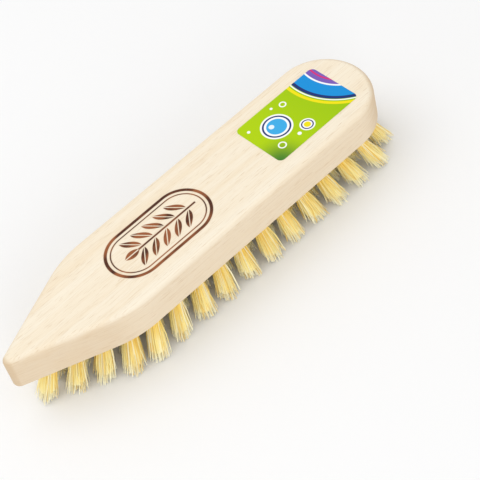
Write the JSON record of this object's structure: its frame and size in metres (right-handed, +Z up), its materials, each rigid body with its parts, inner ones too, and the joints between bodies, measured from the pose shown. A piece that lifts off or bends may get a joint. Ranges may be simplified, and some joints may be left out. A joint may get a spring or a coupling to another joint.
{
  "type": "scrub brush",
  "caption": "Pointed wooden scrub brush: flat block with a tapered nose and round heel, rows of leaning fibre tufts held in drilled holes by wire anchors, and a label on its back.",
  "frame": {"origin": "on the plane of the trimmed fibre tips, under the middle of the whole brush", "axes": "+X along the brush from nose to heel, +Y across it, +Z up from the fibre tips to the back of the block"},
  "size_m": [0.2448, 0.0604, 0.0441],
  "materials": {
    "wood": "planed and sanded, uncoated",
    "fibre": "stiff pale plant fibre, cut at the tips",
    "wire": "flat drawn wire",
    "label": "printed self-adhesive paper with a gloss coat"
  },
  "bodies": {
    "root": {"wooden_block": "wood", "paper_label": "label", "bristle_tufts": "fibre", "anchor_outer_01": "wire", "anchor_outer_02": "wire", "anchor_outer_03": "wire", "anchor_outer_04": "wire", "anchor_outer_05": "wire", "anchor_outer_06": "wire", "anchor_outer_07": "wire", "anchor_outer_08": "wire", "anchor_outer_09": "wire", "anchor_outer_10": "wire", "anchor_outer_11": "wire", "anchor_outer_12": "wire", "anchor_outer_13": "wire", "anchor_outer_14": "wire", "anchor_outer_15": "wire", "anchor_outer_16": "wire", "anchor_outer_17": "wire", "anchor_outer_18": "wire", "anchor_outer_19": "wire", "anchor_outer_20": "wire", "anchor_outer_21": "wire", "anchor_outer_22": "wire", "anchor_outer_23": "wire", "anchor_outer_24": "wire", "anchor_outer_25": "wire", "anchor_outer_26": "wire", "anchor_outer_27": "wire", "anchor_outer_28": "wire", "anchor_outer_29": "wire", "anchor_outer_30": "wire", "anchor_outer_31": "wire", "anchor_outer_32": "wire", "anchor_right_01": "wire", "anchor_right_02": "wire", "anchor_right_03": "wire", "anchor_right_04": "wire", "anchor_right_05": "wire", "anchor_right_06": "wire", "anchor_right_07": "wire", "anchor_right_08": "wire", "anchor_right_09": "wire", "anchor_right_10": "wire", "anchor_right_11": "wire", "anchor_left_01": "wire", "anchor_left_02": "wire", "anchor_left_03": "wire", "anchor_left_04": "wire", "anchor_left_05": "wire", "anchor_left_06": "wire", "anchor_left_07": "wire", "anchor_left_08": "wire", "anchor_left_09": "wire", "anchor_left_10": "wire", "anchor_left_11": "wire"}
  },
  "joints": []
}
